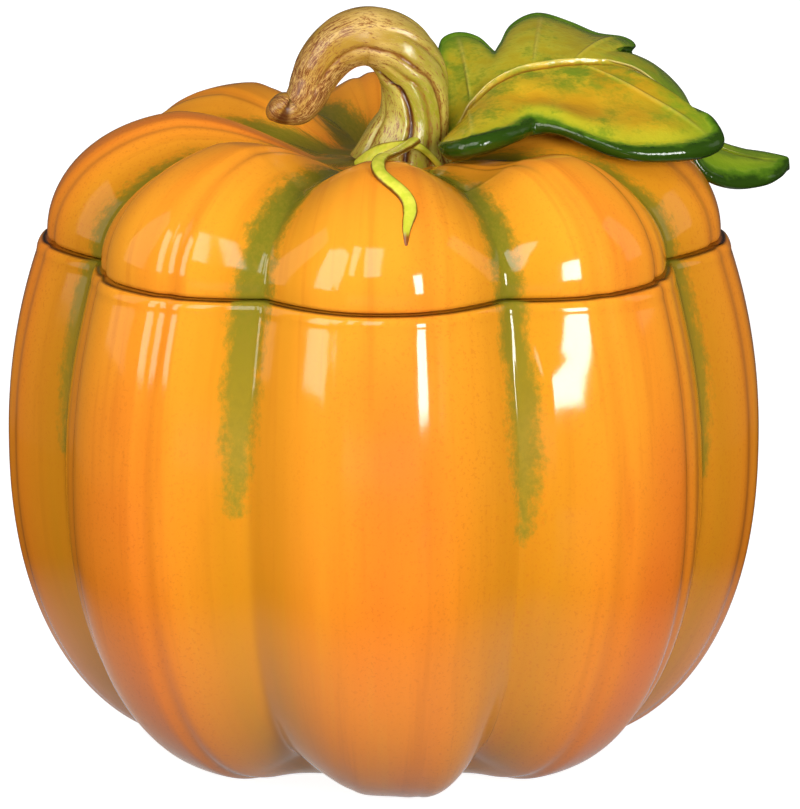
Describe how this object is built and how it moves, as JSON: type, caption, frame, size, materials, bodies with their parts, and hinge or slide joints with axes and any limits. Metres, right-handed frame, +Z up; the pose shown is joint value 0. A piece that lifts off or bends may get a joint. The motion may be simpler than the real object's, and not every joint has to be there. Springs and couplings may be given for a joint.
{
  "type": "pumpkin cookie jar",
  "caption": "Glazed ceramic jar shaped as a ribbed pumpkin, with a lift-off lid that carries a curved stem handle, a lobed leaf and a curled tendril.",
  "frame": {"origin": "centre of the foot ring, on the surface that the jar stands on", "axes": "+Z up along the mouth's axis, the front of the jar faces -Y, +X to its right as seen from the front"},
  "size_m": [0.2406, 0.231, 0.2325],
  "materials": {
    "pumpkin_glaze": "glossy orange glaze with olive green brushwork along the grooves",
    "lining_glaze": "glossy cream glaze",
    "bisque": "unglazed, matt",
    "stem_glaze": "glossy tan glaze with brown in the grooves",
    "leaf_glaze": "glossy green and yellow glaze",
    "tendril_glaze": "glossy lime green glaze with a brown outline"
  },
  "bodies": {
    "jar": {"jar_body": "pumpkin_glaze", "jar_rim": "lining_glaze", "foot_ring": "bisque"},
    "lid": {"lid_shell": "pumpkin_glaze", "lid_flange": "lining_glaze", "stem_handle": "stem_glaze", "stem_collar": "tendril_glaze", "leaf_blade": "leaf_glaze", "leaf_stalk": "leaf_glaze", "tendril": "tendril_glaze"}
  },
  "joints": [
    {"name": "lid_lift", "type": "slide", "parent": "jar", "child": "lid", "axis": [0, 0, 1], "range_m": [0, 0.25]}
  ]
}
